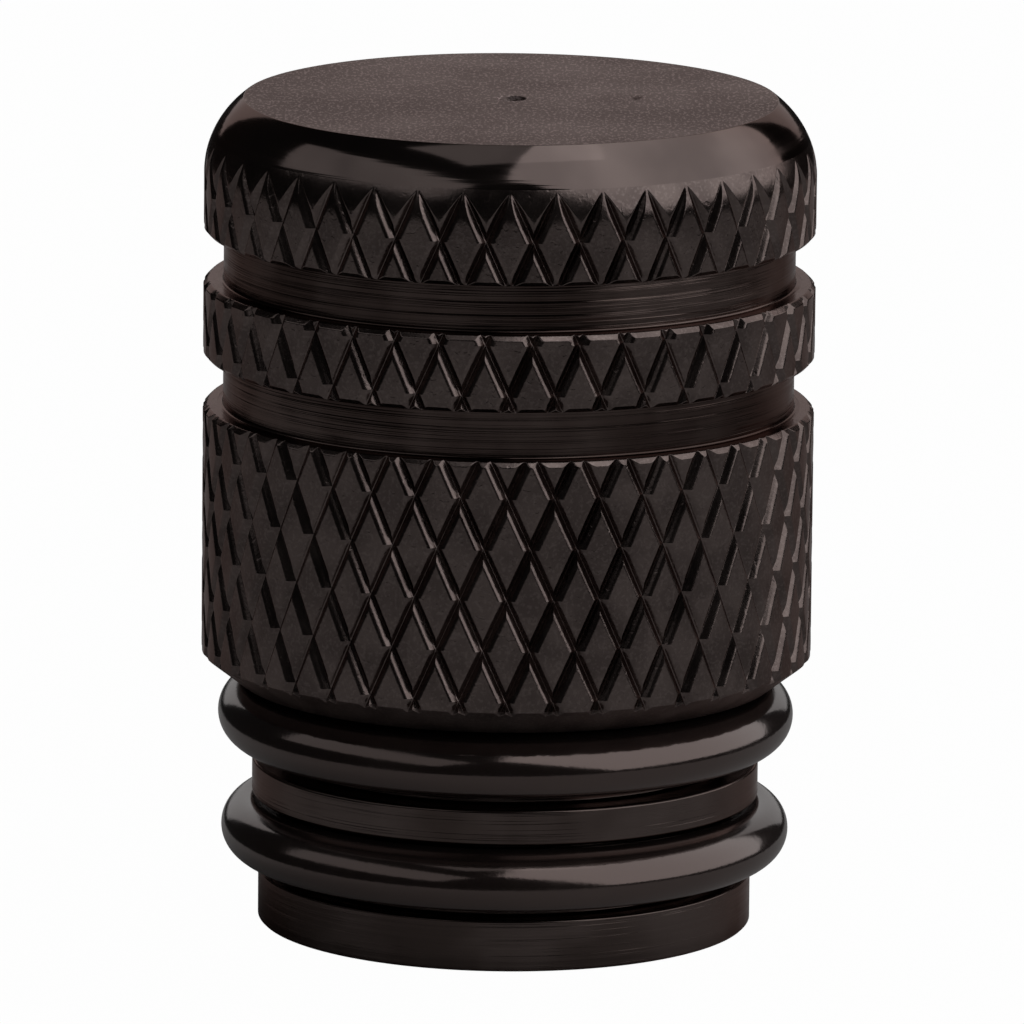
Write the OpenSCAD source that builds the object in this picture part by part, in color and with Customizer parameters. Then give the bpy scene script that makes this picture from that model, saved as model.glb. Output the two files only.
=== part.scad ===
// Knurled metal cap for a tyre valve.
// It stands on its open end, with Z along its axis. Lengths are in millimetres.

/* [Body diameters] */
// Outside diameter of the knurled bands
knurl_d = 12.7; // [10.8:0.1:14]
// Depth of the plain grooves between the bands
groove_depth = 0.42; // [0.2:0.01:0.6]
// Wall between the threaded bore and the floors of the O-ring glands
gland_wall = 1.17; // [0.8:0.01:1.4]
// Height of the land between the O-rings above the gland floors
land_rise = 0.66; // [0.4:0.01:0.8]
// Height of the skirt at the open end above the gland floors
skirt_rise = 0.52; // [0.4:0.01:0.8]

/* [Body lengths, from the open end up] */
// Length of the skirt
skirt_len = 1.08; // [0.8:0.02:2]
// Width of the land between the glands
land_w = 0.76; // [0.3:0.02:1]
// Length of the long knurled band
long_band_len = 5.79; // [4.5:0.01:9]
// Width of the groove above the long band
lower_groove_w = 1.02; // [0.6:0.02:2]
// Length of the middle knurled band
mid_band_len = 1.6; // [1:0.02:3]
// Width of the groove above the middle band
upper_groove_w = 1.02; // [0.6:0.02:2]
// Length of the top band, with its rounded shoulder
top_band_len = 2.79; // [2.3:0.01:5]

/* [Edges] */
// Radius of the rounded shoulder
shoulder_r = 1.95; // [1.4:0.05:2.2]
// Angle of the shoulder's arc, from the knurled side to the flat end face
shoulder_a = 54.6; // [40:0.1:70]
// Chamfer on the edges of the knurled bands
band_chamfer = 0.1; // [0.04:0.01:0.14]
// Radial width of the long band's lower chamfer
long_chamfer_w = 0.76; // [0.3:0.02:1]
// Height of the long band's lower chamfer
long_chamfer_h = 0.58; // [0.3:0.02:1]
// Chamfer on the land and on the top of the skirt
land_chamfer = 0.06; // [0.02:0.01:0.12]
// Chamfer round the outside of the open end
mouth_chamfer = 0.06; // [0.05:0.01:0.3]

/* [Knurl] */
// Grooves of each hand round the cap
knurl_count = 41; // [30:1:44]
// Angle between the grooves and the cap's axis
knurl_angle = 24.65; // [20:0.05:32]
// Depth of the V grooves
knurl_depth = 0.15; // [0.08:0.01:0.18]
// Angle between the two flanks of a groove
knurl_v_angle = 94; // [70:1:100]
// Height of a row of groove crossings in the long band
knurl_row_z = 10.16; // [8:0.01:11]
// Turn of the knurl pattern about the axis
knurl_turn = 0; // [0:0.1:9]

/* [Bore] */
// Diameter of the bore at the thread crests
thread_crest_d = 6.9; // [6.6:0.02:7.2]
// Depth of the threaded bore from the open end
thread_len = 9.2; // [7:0.1:10]
// Size of the lead-in chamfer at the mouth
lead_in = 0.4; // [0.1:0.05:0.5]
// Depth of the undercut that holds the washer, outside the thread crests
undercut_depth = 0.6; // [0.4:0.01:0.8]
// Point angle of the drilled end
drill_angle = 118; // [90:1:140]
// Diameter of the centre mark on the end face
centre_mark_d = 0.4; // [0.2:0.05:0.8]

/* [Seals] */
// Section diameter of the lower O-ring
lower_ring_t = 1.29; // [1:0.01:1.5]
// Gap under the lower O-ring, in its gland
below_lower_ring = 0.245; // [0.02:0.005:0.5]
// Gap above the lower O-ring, in its gland
above_lower_ring = 0.065; // [0.02:0.005:0.6]
// Section diameter of the upper O-ring
upper_ring_t = 1.37; // [1:0.01:1.6]
// Gap under the upper O-ring, in its gland
below_upper_ring = 0.275; // [0.02:0.005:0.5]
// Gap above the upper O-ring, in its gland
above_upper_ring = 0.055; // [0.02:0.005:0.5]
// Gap between each O-ring and its gland floor
ring_fit = 0.01; // [0.005:0.005:0.03]
// Thickness of the sealing washer
washer_t = 1.4; // [0.8:0.05:1.9]
// Diameter of the hole in the sealing washer
washer_hole_d = 3; // [2:0.1:4]
// Gap round the washer and over each of its faces, in its undercut
washer_fit = 0.05; // [0.02:0.01:0.1]

/* [Hidden] */

$fn = 128;

anodised = [0.16, 0.14, 0.135];
ring_rubber = [0.09, 0.085, 0.085];
washer_rubber = [0.22, 0.22, 0.23];

// Radii of the turned body
knurl_r = knurl_d / 2;
knurl_root_r = knurl_r - knurl_depth;
groove_r = knurl_r - groove_depth;
thread_crest_r = thread_crest_d / 2;
gland_r = thread_crest_r + gland_wall;
land_r = gland_r + land_rise;
skirt_r = gland_r + skirt_rise;
undercut_r = thread_crest_r + undercut_depth;
washer_r = undercut_r - washer_fit;

// Heights of the turned steps
land_z = skirt_len + below_lower_ring + lower_ring_t + above_lower_ring;
upper_gland_z = land_z + land_w;
long_band_z = upper_gland_z + below_upper_ring + upper_ring_t + above_upper_ring;
lower_groove_z = long_band_z + long_band_len;
mid_band_z = lower_groove_z + lower_groove_w;
upper_groove_z = mid_band_z + mid_band_len;
top_band_z = upper_groove_z + upper_groove_w;
height = top_band_z + top_band_len;
undercut_z = thread_len + washer_t + 2 * washer_fit;

// The shoulder is an arc that leaves the bands at a tangent and meets the flat face at an edge
shoulder_x = knurl_r - shoulder_r;
shoulder_z = height - shoulder_r * sin(shoulder_a);

// Each knurl cell is half a pitch wide and half a diamond high
cell_a = 180 / knurl_count;
cell_h = PI * knurl_r / knurl_count / tan(knurl_angle);
groove_share = knurl_depth * tan(knurl_v_angle / 2) * knurl_count / (PI * knurl_r * cos(knurl_angle));

// The grooves run out on the shoulder just below this angle of its arc
runout_a = acos(1 - knurl_depth / shoulder_r) + 2;
runout_z = shoulder_z + shoulder_r * sin(runout_a);
runout_steps = 3;
// The turned shoulder lies this far inside the knurled one and starts this far below its end
seam = 0.006;
seam_overlap = 0.1;

// How far cutters reach past what they cut
over = 1;
// Smallest length that counts when knurl cells are trimmed
tiny = 0.000001;
// Points of neighbouring cells are rounded to this step, so that they meet
point_step = 0.00001;

function shoulder_radius(a) = shoulder_x + shoulder_r * cos(a);
function shoulder_height(a) = shoulder_z + shoulder_r * sin(a);

// A line [slope, offset] gives the radius slope * z + offset. Every band is cut down to its lines.
function line_through(a, b) =
    let (slope = (b[0] - a[0]) / (b[1] - a[1]))
    [slope, a[0] - slope * a[1]];
function band_top_line(z) = line_through([knurl_r - band_chamfer, z], [knurl_r, z - band_chamfer]);
function band_foot_line(z) = line_through([knurl_r - band_chamfer, z], [knurl_r, z + band_chamfer]);
function shoulder_lines() = [
    for (i = [0 : runout_steps - 1])
    let (a = runout_a * i / runout_steps, b = runout_a * (i + 1) / runout_steps)
    line_through([shoulder_radius(a), shoulder_height(a)], [shoulder_radius(b), shoulder_height(b)])
];

// A plane [p, q, s] gives the radius p * x + q * y + s inside one knurl cell
function plane_at(plane, point) = plane[0] * point[0] + plane[1] * point[1] + plane[2];
function below(plane, other) = other - plane;
function crossing(plane, a, b) =
    let (share = plane_at(plane, a) / (plane_at(plane, a) - plane_at(plane, b)))
    a + share * (b - a);

// The part of a flat polygon where a plane is not negative
function trim_one(polygon, plane) = [
    for (i = [0 : len(polygon) - 1])
    let (
        a = polygon[i],
        b = polygon[(i + 1) % len(polygon)],
        height_a = plane_at(plane, a),
        height_b = plane_at(plane, b)
    )
    each [
        if (height_a >= -tiny) a,
        if ((height_a > tiny && height_b < -tiny) || (height_a < -tiny && height_b > tiny))
            crossing(plane, a, b)
    ]
];
function trim(polygon, planes, i = 0) =
    i == len(planes) || len(polygon) < 3 ? polygon : trim(trim_one(polygon, planes[i]), planes, i + 1);

// In a cell, x and y run from 0 to 1. Its V groove lies on the diagonal between two crossings,
// and its other two corners are on the flat tops of diamonds.
function cell_halves() = [
    [[[0, 0], [1, 0], [0, 1]], [-1, -1, 1]],
    [[[1, 0], [1, 1], [0, 1]], [1, 1, -1]]
];
function flank_plane(side) =
    knurl_depth / groove_share * side + [0, 0, knurl_root_r];
function cell_planes(row, side, lines) = concat(
    [[0, 0, knurl_r], flank_plane(side)],
    [for (line = lines) [0, line[0] * cell_h, line[0] * (knurl_row_z + row * cell_h) + line[1]]]
);

// One column of cells between two heights, as polygons of [column, height, radius] points
function column_faces(column, z_low, z_high, lines) = [
    for (row = [floor((z_low - knurl_row_z) / cell_h) : ceil((z_high - knurl_row_z) / cell_h) - 1])
    let (
        row_z = knurl_row_z + row * cell_h,
        mirrored = (column + row) % 2 != 0,
        ends = [[0, cell_h, row_z - z_low], [0, -cell_h, z_high - row_z]]
    )
    for (half = cell_halves())
    let (planes = cell_planes(row, half[1], lines))
    for (plane = planes)
    let (
        others = [for (other = planes) if (other != plane) below(plane, other)],
        face = trim(half[0], concat(ends, others)),
        placed = [
            for (point = face) [
                column + (mirrored ? 1 - point[0] : point[0]),
                row_z + point[1] * cell_h,
                plane_at(plane, point)
            ]
        ]
    )
    if (len(placed) > 2)
        mirrored ? placed : [for (i = [len(placed) - 1 : -1 : 0]) placed[i]]
];

function rounded(point) = [for (value = point) round(value / point_step) * point_step];
function wrapped(point, turn) =
    let (a = knurl_turn - 90 + (point[0] + turn - 1) * cell_a)
    rounded([point[2] * cos(a), point[2] * sin(a), point[1]]);

// Triangles of a face, and the triangles that close the band's ends over a face's end edges
function fan(face) = [for (i = [1 : len(face) - 2]) [face[0], face[i], face[i + 1]]];
function end_fan(face, z) = [
    for (i = [0 : len(face) - 1])
    let (a = face[i], b = face[(i + 1) % len(face)])
    if (abs(a[1] - z) < tiny && abs(b[1] - z) < tiny)
        [b, a, [a[0], z, 0]]
];

// A solid knurled disc, cut down to the lines of its turned profile
module knurled_band(z_low, z_high, lines) {
    faces = [
        for (column = [0, 1])
        for (face = column_faces(column, z_low, z_high, lines))
        each concat(fan(face), end_fan(face, z_low), end_fan(face, z_high))
    ];
    points = [
        for (turn = [0 : knurl_count - 1])
        for (face = faces)
        for (point = face)
        wrapped(point, 2 * turn)
    ];
    polyhedron(points, [for (i = [0 : len(points) / 3 - 1]) [3 * i, 3 * i + 1, 3 * i + 2]]);
}

module top_band() {
    knurled_band(top_band_z, runout_z, concat([band_foot_line(top_band_z)], shoulder_lines()));
}

module middle_band() {
    knurled_band(mid_band_z, upper_groove_z, [band_foot_line(mid_band_z), band_top_line(upper_groove_z)]);
}

module long_band() {
    chamfer_line = line_through(
        [knurl_r - long_chamfer_w, long_band_z],
        [knurl_r, long_band_z + long_chamfer_h]
    );
    knurled_band(long_band_z, lower_groove_z, [chamfer_line, band_top_line(lower_groove_z)]);
}

// The smooth shoulder above the knurl, up to the flat end face
module shoulder() {
    start_z = runout_z - seam_overlap;
    rotate_extrude() {
        translate([0, start_z])
            square([shoulder_x, height - start_z]);
        intersection() {
            translate([shoulder_x, shoulder_z])
                circle(shoulder_r - seam);
            translate([shoulder_x - seam, start_z])
                square([shoulder_r, height - start_z]);
        }
    }
}

// The turned core that shows in the grooves, glands, land and skirt
module turned_core() {
    neck_z = long_band_z + long_chamfer_h;
    rotate_extrude()
        polygon([
            [0, 0],
            [skirt_r - mouth_chamfer, 0],
            [skirt_r, mouth_chamfer],
            [skirt_r, skirt_len - land_chamfer],
            [skirt_r - land_chamfer, skirt_len],
            [gland_r, skirt_len],
            [gland_r, land_z],
            [land_r - land_chamfer, land_z],
            [land_r, land_z + land_chamfer],
            [land_r, upper_gland_z - land_chamfer],
            [land_r - land_chamfer, upper_gland_z],
            [gland_r, upper_gland_z],
            [gland_r, neck_z],
            [groove_r, neck_z],
            [groove_r, shoulder_z],
            [0, shoulder_z]
        ]);
}

// The bore, its lead-in, the washer's undercut and the drilled end
module bore() {
    translate([0, 0, -over])
        cylinder(r = thread_crest_r, h = undercut_z + over);
    translate([0, 0, -over])
        cylinder(r1 = thread_crest_r + lead_in + over, r2 = thread_crest_r, h = lead_in + over);
    translate([0, 0, thread_len])
        cylinder(r = undercut_r, h = undercut_z - thread_len);
    translate([0, 0, undercut_z])
        cylinder(r1 = thread_crest_r, r2 = 0, h = thread_crest_r / tan(drill_angle / 2));
}

module centre_mark() {
    mark_r = centre_mark_d / 2;
    translate([0, 0, height - mark_r / 2])
        cylinder(r1 = 0, r2 = 2 * mark_r, h = mark_r);
}

module cap_body() {
    color(anodised)
        difference() {
            union() {
                turned_core();
                shoulder();
                top_band();
                middle_band();
                long_band();
            }
            bore();
            centre_mark();
        }
}

module o_ring(section, z) {
    color(ring_rubber)
        translate([0, 0, z + section / 2])
            rotate_extrude()
                translate([gland_r + ring_fit + section / 2, 0])
                    circle(section / 2);
}

module upper_o_ring() {
    o_ring(upper_ring_t, upper_gland_z + below_upper_ring);
}

module lower_o_ring() {
    o_ring(lower_ring_t, skirt_len + below_lower_ring);
}

module sealing_washer() {
    color(washer_rubber)
        translate([0, 0, thread_len + washer_fit])
            difference() {
                cylinder(r = washer_r, h = washer_t);
                translate([0, 0, -over])
                    cylinder(d = washer_hole_d, h = washer_t + 2 * over);
            }
}

cap_body();
upper_o_ring();
lower_o_ring();
sealing_washer();
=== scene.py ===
"""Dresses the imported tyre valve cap: a knurled, dark anodised aluminium cap with black O-rings.

Shapes are worked out in millimetres and become metres when their meshes are made. The sizes
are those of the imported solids, apart from the depth and the V angle of the knurl and from the
thread, which the solids don't have. No piece goes past the solids' box.
"""

from __future__ import annotations

import logging
import math
from dataclasses import dataclass, field
from enum import Enum
from typing import Any, Callable, Sequence

import bpy
import numpy as np
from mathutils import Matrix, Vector

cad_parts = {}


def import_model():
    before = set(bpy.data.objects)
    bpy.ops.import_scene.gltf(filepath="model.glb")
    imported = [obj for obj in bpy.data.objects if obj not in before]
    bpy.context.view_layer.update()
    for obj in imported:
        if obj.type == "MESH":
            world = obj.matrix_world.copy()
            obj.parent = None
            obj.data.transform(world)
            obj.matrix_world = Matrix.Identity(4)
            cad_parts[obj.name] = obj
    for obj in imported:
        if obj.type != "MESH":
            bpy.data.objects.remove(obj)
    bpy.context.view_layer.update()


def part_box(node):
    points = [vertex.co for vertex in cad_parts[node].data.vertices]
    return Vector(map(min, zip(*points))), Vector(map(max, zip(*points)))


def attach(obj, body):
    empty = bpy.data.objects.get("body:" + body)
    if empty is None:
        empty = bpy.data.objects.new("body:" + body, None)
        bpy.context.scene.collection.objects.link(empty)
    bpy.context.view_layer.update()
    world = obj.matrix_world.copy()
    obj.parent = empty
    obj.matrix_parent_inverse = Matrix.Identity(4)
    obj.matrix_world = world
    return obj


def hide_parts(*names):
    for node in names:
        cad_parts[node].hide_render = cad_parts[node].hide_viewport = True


LOG = logging.getLogger("valve_cap")

MM = 0.001
BODY = "root"
IMAGE_SIDE = 1024
SENSOR_MM = 36.0
# A radius below this is on the axis, and a length below it is none
TINY = 1e-6
# Share of the radius that moves the turning lines on, next to the height
LATHE_SLANT = 0.83
# Steps per cell and per millimetre that tell two points of the knurl apart
KEY_STEPS = 1e5
# How close to a corner a cut goes through it, in millimetres
CUT_SLACK = 1e-9

Array = np.ndarray
Profile = Callable[[Array], Array]


class Part(Enum):
    """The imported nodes, by their names."""

    BODY = "cap_body"
    UPPER_RING = "upper_o_ring"
    LOWER_RING = "lower_o_ring"
    WASHER = "sealing_washer"


class Slot(Enum):
    """The record's material slots."""

    ANODISED = "anodised_aluminium"
    RING = "ring_rubber"
    WASHER = "washer_rubber"


# Shader maths


class Value:
    """A shader socket that takes part in Python expressions."""

    def __init__(self, tree: "ShaderTree", socket: bpy.types.NodeSocket) -> None:
        """Wraps an output socket of a tree."""
        self.tree = tree
        self.socket = socket

    def _math(self, operation: str, first: Any, second: Any) -> "Value":
        """Adds one Math node.

        Args:
            operation: what the node does.
            first: its first input.
            second: its second input.

        Returns:
            The node's result.
        """
        return self.tree.node("ShaderNodeMath", {"operation": operation}, {0: first, 1: second})

    def __add__(self, other: Any) -> "Value":
        """The sum of two values."""
        return self._math("ADD", self, other)

    def __radd__(self, other: Any) -> "Value":
        """The sum, with a number on the left."""
        return self._math("ADD", other, self)

    def __sub__(self, other: Any) -> "Value":
        """The difference of two values."""
        return self._math("SUBTRACT", self, other)

    def __rsub__(self, other: Any) -> "Value":
        """The difference, with a number on the left."""
        return self._math("SUBTRACT", other, self)

    def __mul__(self, other: Any) -> "Value":
        """The product of two values."""
        return self._math("MULTIPLY", self, other)

    def __rmul__(self, other: Any) -> "Value":
        """The product, with a number on the left."""
        return self._math("MULTIPLY", other, self)

    def ramp(self, low: float, high: float, to_low: float = 0.0, to_high: float = 1.0) -> "Value":
        """Maps a range of this value smoothly onto another and holds it at the ends.

        Args:
            low: the value that maps onto to_low.
            high: the value that maps onto to_high.
            to_low: the result at low and below.
            to_high: the result at high and above.

        Returns:
            The mapped value.
        """
        settings = {"interpolation_type": "SMOOTHSTEP", "clamp": True}
        inputs = {"Value": self, "From Min": low, "From Max": high, "To Min": to_low, "To Max": to_high}
        return self.tree.node("ShaderNodeMapRange", settings, inputs)


class ShaderTree:
    """The node tree of one material or of the world."""

    def __init__(self, owner: bpy.types.Material | bpy.types.World) -> None:
        """Starts an owner's tree afresh."""
        owner.use_nodes = True
        self.tree = owner.node_tree
        self.tree.nodes.clear()

    def node(
        self, kind: str, settings: dict[str, Any], inputs: dict[str | int, Any], output: str | int = 0
    ) -> Value:
        """Adds a node of any type.

        Args:
            kind: the node's type.
            settings: properties that are set before the sockets.
            inputs: sockets by name or number, each a plain value or a Value to link.
            output: the name or number of the output socket to return.

        Returns:
            The chosen output, or the first input of a node that has no outputs.
        """
        node = self.tree.nodes.new(kind)
        for name, setting in settings.items():
            setattr(node, name, setting)
        for key, value in inputs.items():
            if isinstance(value, Value):
                self.tree.links.new(value.socket, node.inputs[key])
            else:
                node.inputs[key].default_value = value
        return Value(self, node.outputs[output]) if len(node.outputs) else Value(self, node.inputs[0])

    def place(self) -> Value:
        """The place on the object, in metres, in the row's frame."""
        return self.node("ShaderNodeTexCoord", {}, {}, "Object")

    def scaled(self, vector: Value, scale: tuple[float, float, float]) -> Value:
        """A vector times a vector, axis by axis."""
        return self.node("ShaderNodeVectorMath", {"operation": "MULTIPLY"}, {0: vector, 1: scale})

    def noise(self, vector: Value, scale: float, detail: float = 2.0, rough: float = 0.5) -> Value:
        """Smooth noise from 0 to 1.

        Args:
            vector: where the noise is read.
            scale: cells per unit of the vector.
            detail: octaves of finer noise.
            rough: strength of the finer noise.

        Returns:
            The noise value.
        """
        inputs = {"Vector": vector, "Scale": scale, "Detail": detail, "Roughness": rough}
        return self.node("ShaderNodeTexNoise", {"noise_dimensions": "3D"}, inputs, "Fac")

    def blend(self, share: Any, first: Any, second: Any) -> Value:
        """A colour between two others.

        Args:
            share: how much of the second there is.
            first: the colour at a share of 0.
            second: the colour at a share of 1.

        Returns:
            The mixed colour.
        """
        settings = {"data_type": "RGBA", "blend_type": "MIX"}
        return self.node("ShaderNodeMix", settings, {0: share, 6: first, 7: second}, 2)

    def lathe_vector(self, lines_per_mm: float, waver: float) -> Value:
        """A vector that changes along a turned profile and hardly at all round the axis.

        Args:
            lines_per_mm: how fast it changes across the turning lines.
            waver: how fast it changes round the axis, per millimetre.

        Returns:
            The vector for a noise of scale 1.
        """
        place = self.place()
        split = self.node("ShaderNodeSeparateXYZ", {}, {0: place}, "Z")
        flat = self.scaled(place, (1.0, 1.0, 0.0))
        radius = self.node("ShaderNodeVectorMath", {"operation": "LENGTH"}, {0: flat}, "Value")
        around = self.node("ShaderNodeVectorMath", {"operation": "NORMALIZE"}, {0: flat})
        across = (split + radius * LATHE_SLANT) * (lines_per_mm / MM)
        turned = self.node("ShaderNodeCombineXYZ", {}, {"X": 0.0, "Y": 0.0, "Z": across})
        swept = self.scaled(around, (waver, waver, 0.0))
        return self.node("ShaderNodeVectorMath", {"operation": "ADD"}, {0: turned, 1: swept})

    def bump(self, height: Value, depth_mm: float, below: Value | None = None) -> Value:
        """A normal from a height.

        Args:
            height: the relief, from 0 to 1.
            depth_mm: how deep a height of 1 is.
            below: a normal to add the relief to.

        Returns:
            The bumped normal.
        """
        inputs: dict[str | int, Any] = {"Height": height, "Strength": 1.0, "Distance": depth_mm * MM}
        if below is not None:
            inputs["Normal"] = below
        return self.node("ShaderNodeBump", {}, inputs)

    def finish(self, shader: Value, world: bool = False) -> None:
        """Links a shader to the tree's output.

        Args:
            shader: what the surface or the world shows.
            world: whether the tree is that of the world.
        """
        kind = "ShaderNodeOutputWorld" if world else "ShaderNodeOutputMaterial"
        self.node(kind, {}, {"Surface": shader})


# Finishes


Colour = tuple[float, float, float, float]
Range = tuple[float, float]
WHITE: Colour = (1.0, 1.0, 1.0, 1.0)


@dataclass(frozen=True)
class AnodisedFinish:
    """Dark anodised aluminium, with what the tool left on it."""

    name: str
    roughness: float = 0.2
    tint: Colour = (0.150, 0.118, 0.110, 1.0)
    tone: Colour = (0.105, 0.082, 0.077, 1.0)
    edge_tint: Colour = (0.66, 0.56, 0.54, 1.0)
    turning_depth: float = 0.0
    turning_lines: float = 9.0
    grain_depth: float = 0.0
    grain_size: float = 0.07
    grain_stretch: float = 1.0
    pit_depth: float = 0.0
    speckle: float = 0.0
    speckle_gain: float = 1.6
    mottle_per_mm: float = 0.35
    foot_z: float = 0.0
    foot_roughness: float = 0.0
    foot_blend: float = 0.03
    cloud_range: Range = (0.36, 0.64)
    rough_range: Range = (0.25, 0.8)
    rough_spread: Range = (0.85, 1.2)
    waver: float = 0.3
    worn_per_mm: float = 0.45
    worn_range: Range = (0.38, 0.62)
    least_worn: float = 0.4
    line_range: Range = (0.35, 0.8)
    line_roughness: Range = (-0.03, 0.07)
    speckle_range: Range = (0.5, 0.64)
    speckle_floor: float = 0.05
    pits_per_mm: float = 7.0
    pit_range: Range = (0.62, 0.7)

    def make(self) -> bpy.types.Material:
        """Builds the material.

        Returns:
            The material, with its bumps and its changes of colour and roughness.
        """
        material = bpy.data.materials.new(self.name)
        tree = ShaderTree(material)
        place = tree.place()
        cloud = tree.noise(place, self.mottle_per_mm / MM, 3.0)
        colour = tree.blend(cloud.ramp(*self.cloud_range), self.tone, self.tint)
        least, most = (self.roughness * share for share in self.rough_spread)
        rough = cloud.ramp(*self.rough_range, least, most)
        if self.foot_roughness > 0:
            height = tree.node("ShaderNodeSeparateXYZ", {}, {0: place}, "Z")
            low = (self.foot_z - self.foot_blend) * MM
            rough = rough + height.ramp(low, self.foot_z * MM, self.foot_roughness, 0.0)
        normal: Value | None = None
        if self.turning_depth > 0:
            lines = tree.noise(tree.lathe_vector(self.turning_lines, self.waver), 1.0, 3.0, 0.65)
            worn = tree.noise(place, self.worn_per_mm / MM, 2.0).ramp(*self.worn_range, self.least_worn, 1.0)
            normal = tree.bump(lines * worn, self.turning_depth, normal)
            rough = rough + lines.ramp(*self.line_range, *self.line_roughness)
        if self.grain_depth > 0:
            stretched = tree.scaled(place, (1.0, self.grain_stretch, 1.0))
            grain = tree.noise(stretched, 1.0 / (self.grain_size * MM), 2.0, 0.6)
            normal = tree.bump(grain, self.grain_depth, normal)
            if self.speckle > 0:
                light = [min(1.0, self.speckle_floor + c * self.speckle_gain) for c in self.tint[:3]]
                share = grain.ramp(*self.speckle_range) * self.speckle
                colour = tree.blend(share, colour, (*light, 1.0))
        if self.pit_depth > 0:
            pits = tree.noise(place, self.pits_per_mm / MM, 1.0, 0.4).ramp(*self.pit_range, 1.0, 0.0)
            normal = tree.bump(pits, self.pit_depth, normal)
        inputs: dict[str | int, Any] = {
            "Base Color": colour, "Metallic": 1.0, "Roughness": rough, "Specular Tint": self.edge_tint,
        }
        if normal is not None:
            inputs["Normal"] = normal
        tree.finish(tree.node("ShaderNodeBsdfPrincipled", {}, inputs))
        return material


@dataclass(frozen=True)
class RubberFinish:
    """Moulded rubber, from oiled and shiny to dry and dull."""

    name: str
    roughness: float
    colour: Colour
    dust: Colour
    grain_depth: float = 0.001
    grain_per_mm: float = 14.0
    sheen_ior: float = 1.5
    streaks: float = 0.0
    tint: Colour = WHITE
    clouds_per_mm: float = 0.5
    dust_range: Range = (0.35, 0.8)
    rough_range: Range = (0.3, 0.8)
    rough_spread: Range = (0.8, 1.3)
    streaks_per_mm: float = 4.0
    streak_waver: float = 0.5

    def make(self) -> bpy.types.Material:
        """Builds the material.

        Returns:
            The material, with its grain, dust and streaks.
        """
        material = bpy.data.materials.new(self.name)
        tree = ShaderTree(material)
        place = tree.place()
        cloud = tree.noise(place, self.clouds_per_mm / MM, 3.0, 0.6)
        colour = tree.blend(cloud.ramp(*self.dust_range), self.colour, self.dust)
        least, most = (self.roughness * share for share in self.rough_spread)
        rough = cloud.ramp(*self.rough_range, least, most)
        normal = tree.bump(tree.noise(place, self.grain_per_mm / MM, 2.0), self.grain_depth)
        if self.streaks > 0:
            streak = tree.noise(tree.lathe_vector(self.streaks_per_mm, self.streak_waver), 1.0, 2.0, 0.5)
            normal = tree.bump(streak, self.streaks, normal)
        inputs = {
            "Base Color": colour,
            "Roughness": rough,
            "Normal": normal,
            "IOR": self.sheen_ior,
            "Specular Tint": self.tint,
        }
        tree.finish(tree.node("ShaderNodeBsdfPrincipled", {}, inputs))
        return material


FACE_FINISH = AnodisedFinish(
    "anodised_end_face", roughness=0.44, tint=(0.108, 0.083, 0.079, 1.0), edge_tint=(0.95, 0.81, 0.78, 1.0),
    grain_depth=0.006, grain_size=0.062, grain_stretch=0.35, speckle=1.0, speckle_gain=2.3,
)
SHOULDER_FINISH = AnodisedFinish("anodised_shoulder", roughness=0.11, turning_depth=0.016, turning_lines=7.0)
KNURL_FINISH = AnodisedFinish(
    "anodised_knurl", roughness=0.2, grain_depth=0.0016, grain_size=0.07, pit_depth=0.0012,
    speckle=0.22, mottle_per_mm=1.1, foot_z=5.74, foot_roughness=0.26,
)
GROOVE_FINISH = AnodisedFinish(
    "anodised_grooves", roughness=0.18, tint=(0.120, 0.090, 0.082, 1.0), tone=(0.055, 0.038, 0.034, 1.0),
    turning_depth=0.036,
)
NECK_FINISH = AnodisedFinish(
    "anodised_neck", roughness=0.2, tint=(0.138, 0.108, 0.100, 1.0), tone=(0.085, 0.064, 0.058, 1.0),
    turning_depth=0.03, turning_lines=7.0,
)
BORE_FINISH = AnodisedFinish("anodised_bore", roughness=0.3, turning_depth=0.004)
RING_FINISH = RubberFinish(
    "oiled_ring_rubber", 0.145, (0.010, 0.007, 0.0065, 1.0), (0.016, 0.012, 0.011, 1.0),
    grain_depth=0.0018, grain_per_mm=9.0, sheen_ior=1.95, streaks=0.0045, tint=(1.0, 0.78, 0.73, 1.0),
)
WASHER_FINISH = RubberFinish(
    "dry_washer_rubber", 0.62, (0.030, 0.030, 0.032, 1.0), (0.055, 0.054, 0.056, 1.0), grain_depth=0.004
)


# Surfaces


@dataclass
class Surface:
    """Points, normals and faces that are gathered for one mesh, in millimetres."""

    points: list[Array] = field(default_factory=list)
    normals: list[Array] = field(default_factory=list)
    faces: list[tuple[int, ...]] = field(default_factory=list)
    count: int = 0

    def add(
        self, points: Array, normals: Array, faces: Sequence[Sequence[int]], by_corner: bool = False
    ) -> None:
        """Adds one patch.

        Args:
            points: one row per point.
            normals: one row per point, or per face corner, of any length.
            faces: corners of each face, as rows of the patch's points.
            by_corner: whether the normals are those of the face corners.
        """
        self.points.append(points)
        if not by_corner:
            normals = normals[np.concatenate([np.asarray(face) for face in faces])]
        self.normals.append(normals / np.linalg.norm(normals, axis=1, keepdims=True))
        start = self.count
        self.faces.extend(tuple(int(i) + start for i in face) for face in faces)
        self.count += len(points)

    def make(self, name: str, material: bpy.types.Material) -> bpy.types.Object:
        """Makes the mesh, in metres, with the gathered normals.

        Args:
            name: the piece's name.
            material: the piece's finish.

        Returns:
            The new object.
        """
        mesh = bpy.data.meshes.new(name)
        mesh.from_pydata((np.vstack(self.points) * MM).tolist(), [], self.faces)
        mesh.shade_smooth()
        mesh.materials.append(material)
        mesh.normals_split_custom_set(np.vstack(self.normals).tolist())
        mesh.update()
        piece = bpy.data.objects.new(name, mesh)
        bpy.context.scene.collection.objects.link(piece)
        return piece


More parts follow.
